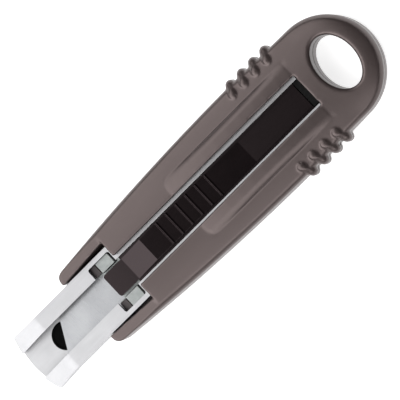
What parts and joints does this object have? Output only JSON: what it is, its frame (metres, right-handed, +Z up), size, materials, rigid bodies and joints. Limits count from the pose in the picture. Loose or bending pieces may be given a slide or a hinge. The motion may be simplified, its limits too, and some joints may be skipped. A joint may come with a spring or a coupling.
{
  "type": "utility knife",
  "caption": "Auto-retracting utility knife with a moulded grip, steel nose channel, thumb slider, spring-returned slanted blade and a hang hole.",
  "frame": {"origin": "under the middle of the knife's overall box, at the surface it lies on", "axes": "+X along the knife towards the nose, +Z up out of the slider's face, +Y towards the blade's cutting edge"},
  "size_m": [0.15, 0.0398, 0.0136],
  "materials": {
    "grip_plastic": "matte warm grey moulded plastic",
    "channel_steel": "bright satin stainless sheet",
    "slider_plastic": "near-black brown moulded plastic, semi-gloss",
    "carrier_steel": "zinc-plated sheet",
    "blade_steel": "ground satin tool steel",
    "stud_steel": "plain steel",
    "shoe_plastic": "dark nylon",
    "spring_steel": "spring wire",
    "bumper_rubber": "black rubber",
    "plug_plastic": "black moulded plastic",
    "screw_steel": "dark zinc-plated steel"
  },
  "bodies": {
    "handle": {"grip_upper_shell": "grip_plastic", "grip_lower_shell": "grip_plastic", "guide_channel": "channel_steel", "channel_rivets": "stud_steel", "case_screws": "screw_steel", "rear_bumper": "bumper_rubber", "spring_anchor_pin": "stud_steel", "return_spring": "spring_steel", "nose_plug": "plug_plastic"},
    "slide": {"thumb_slider": "slider_plastic", "blade_carrier": "carrier_steel", "blade": "blade_steel", "blade_studs": "stud_steel", "slider_rivets": "stud_steel", "spring_hook_stud": "stud_steel", "glide_shoe_left": "shoe_plastic", "glide_shoe_right": "shoe_plastic"}
  },
  "joints": [
    {"name": "blade_slide", "type": "slide", "parent": "handle", "child": "slide", "axis": [1, 0, 0], "range_m": [0, 0.025], "stiffness_N_per_m": 120, "springref_m": -0.01, "deforming": ["return_spring"]}
  ]
}
